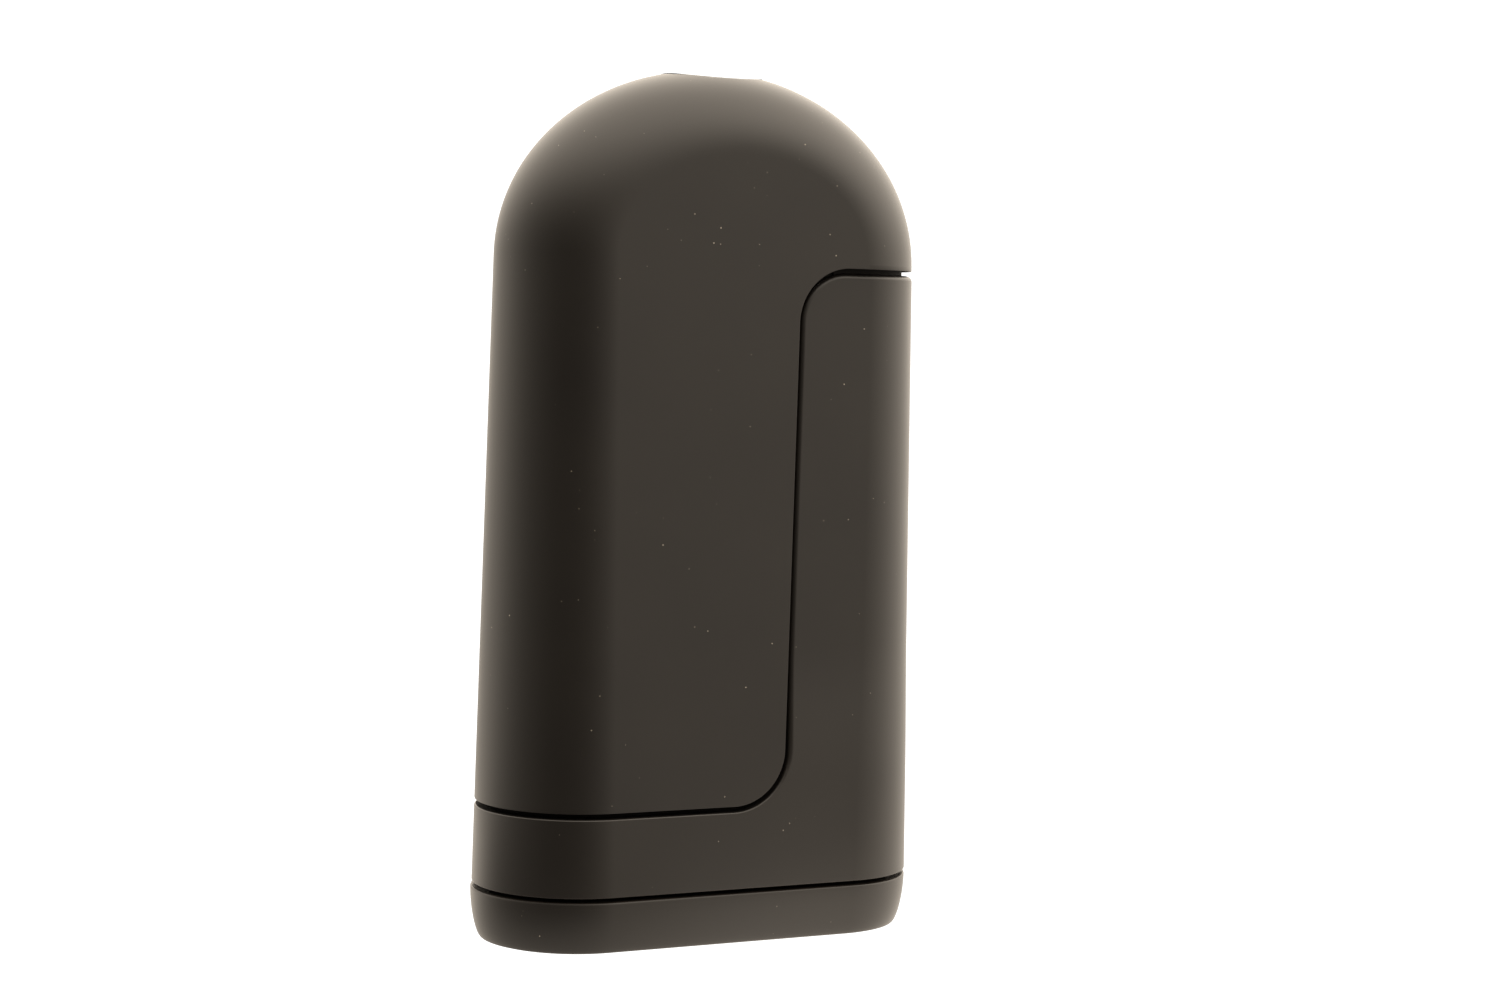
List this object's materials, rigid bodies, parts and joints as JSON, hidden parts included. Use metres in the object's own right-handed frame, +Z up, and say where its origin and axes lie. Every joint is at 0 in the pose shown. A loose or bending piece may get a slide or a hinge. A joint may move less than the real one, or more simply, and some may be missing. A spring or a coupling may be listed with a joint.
{
  "type": "jet lighter",
  "caption": "Flat dome-topped refillable jet lighter with a full-round edge, an L-shaped squeeze trigger on one side, a foot cap and an oblong flame opening in the crown.",
  "frame": {"origin": "middle of the footprint, on the plane that the lighter stands on", "axes": "+Z up to the crown, +X towards the squeeze trigger, -Y out of the front face"},
  "size_m": [0.0364, 0.0158, 0.0669],
  "materials": {
    "soft_touch_black": "soft-touch coating over moulding",
    "glass_filled_nylon": "moulded, fine texture",
    "translucent_nylon": "moulded, satin",
    "turned_brass": "turned",
    "spring_steel": "drawn wire",
    "bright_steel": "turned and polished",
    "seal_rubber": "moulded",
    "clear_tubing": "extruded",
    "igniter_plastic": "moulded",
    "wire_insulation": "extruded",
    "white_ceramic": "glazed"
  },
  "bodies": {
    "body": {"hood": "soft_touch_black", "base_cap": "soft_touch_black", "chassis": "glass_filled_nylon", "fuel_tank": "translucent_nylon", "tank_lid": "translucent_nylon", "fill_valve_body": "turned_brass", "fill_valve_spring": "spring_steel", "fill_valve_seal": "seal_rubber", "adjuster_gland": "turned_brass", "outlet_valve_body": "turned_brass", "gas_tube": "clear_tubing", "burner_body": "turned_brass", "burner_nozzle": "bright_steel", "flame_screen": "bright_steel", "piezo_body": "igniter_plastic", "plunger_spring": "spring_steel", "electrode_wire": "wire_insulation", "electrode_insulator": "white_ceramic", "spark_electrode": "bright_steel", "trigger_spring": "spring_steel", "trigger_pin": "bright_steel", "rocker_pin": "bright_steel", "gas_lever_pin": "bright_steel", "base_screw_left": "bright_steel", "base_screw_right": "bright_steel"},
    "trigger": {"trigger": "soft_touch_black"},
    "rocker": {"rocker": "glass_filled_nylon"},
    "plunger": {"piezo_plunger": "glass_filled_nylon"},
    "gas_lever": {"gas_lever": "bright_steel"},
    "outlet_stem": {"outlet_valve_stem": "bright_steel"},
    "adjuster": {"flame_adjuster": "turned_brass"},
    "fill_stem": {"fill_valve_stem": "turned_brass"}
  },
  "joints": [
    {"name": "trigger_squeeze", "type": "hinge", "parent": "body", "child": "trigger", "pos_m": [-0.006, 0, 0.0078], "axis": [0, -1, 0], "range_deg": [0, 1.1], "stiffness_Nm_per_rad": 2, "springref_deg": -2.29, "deforming": ["trigger_spring"]},
    {"name": "rocker_turn", "type": "hinge", "parent": "body", "child": "rocker", "pos_m": [0.0126, 0, 0.0425], "axis": [0, -1, 0], "range_deg": [0, 21]},
    {"name": "plunger_press", "type": "slide", "parent": "body", "child": "plunger", "axis": [0, 0, -1], "range_m": [0, 0.00191], "deforming": ["plunger_spring"]},
    {"name": "gas_lever_turn", "type": "hinge", "parent": "body", "child": "gas_lever", "pos_m": [-0.0045, 0, 0.0408], "axis": [0, 1, 0], "range_deg": [0, 9.3]},
    {"name": "outlet_stem_lift", "type": "slide", "parent": "body", "child": "outlet_stem", "axis": [0, 0, 1], "range_m": [0, 0.00057]},
    {"name": "flame_adjust", "type": "hinge", "parent": "body", "child": "adjuster", "pos_m": [-0.008, 0, 0.001], "axis": [0, 0, 1], "range_deg": [-120, 120]},
    {"name": "fill_stem_push", "type": "slide", "parent": "body", "child": "fill_stem", "axis": [0, 0, 1], "range_m": [0, 0.001], "stiffness_N_per_m": 600, "springref_m": -0.0005, "deforming": ["fill_valve_spring"]}
  ],
  "couplings": [
    {"joint": "rocker_turn", "follows": "trigger_squeeze", "ratio": 19},
    {"joint": "plunger_press", "follows": "trigger_squeeze", "m_per_rad": 0.099},
    {"joint": "gas_lever_turn", "follows": "trigger_squeeze", "ratio": 8.4},
    {"joint": "outlet_stem_lift", "follows": "trigger_squeeze", "m_per_rad": 0.0293}
  ]
}
